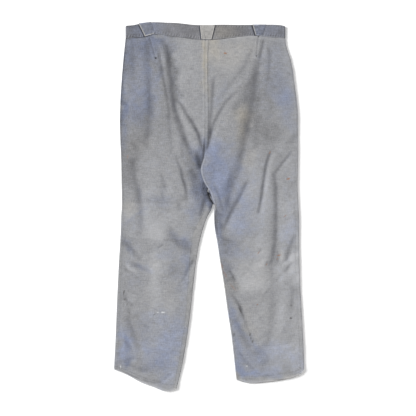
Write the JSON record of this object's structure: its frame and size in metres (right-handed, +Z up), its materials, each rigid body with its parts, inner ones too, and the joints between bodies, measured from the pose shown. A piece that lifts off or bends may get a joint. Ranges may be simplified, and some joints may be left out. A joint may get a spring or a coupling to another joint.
{
  "type": "work trousers",
  "caption": "Faded cotton work trousers laid flat, back side up, with waistband, tapered belt loops, seat darts and turned hems.",
  "frame": {"origin": "on the surface that the trousers lie on, under the middle of their box, which falls at the fork", "axes": "+X to the wearer's right, +Y from the hems to the waist, +Z up from the surface, through the back"},
  "size_m": [0.5224, 1.0136, 0.0123],
  "materials": {
    "back_cloth": "worn matte twill",
    "front_cloth": "worn matte twill",
    "waistband_cloth": "worn matte twill",
    "loop_cloth": "worn matte twill",
    "shield_cloth": "matte twill",
    "hook_metal": "dull"
  },
  "bodies": {
    "root": {"back_left": "back_cloth", "back_right": "back_cloth", "front_left": "front_cloth", "front_right": "front_cloth", "waistband_left": "waistband_cloth", "waistband_right": "waistband_cloth", "loop_centre": "loop_cloth", "loop_left": "loop_cloth", "loop_right": "loop_cloth", "fly_shield": "shield_cloth", "waist_hook": "hook_metal"}
  },
  "joints": []
}
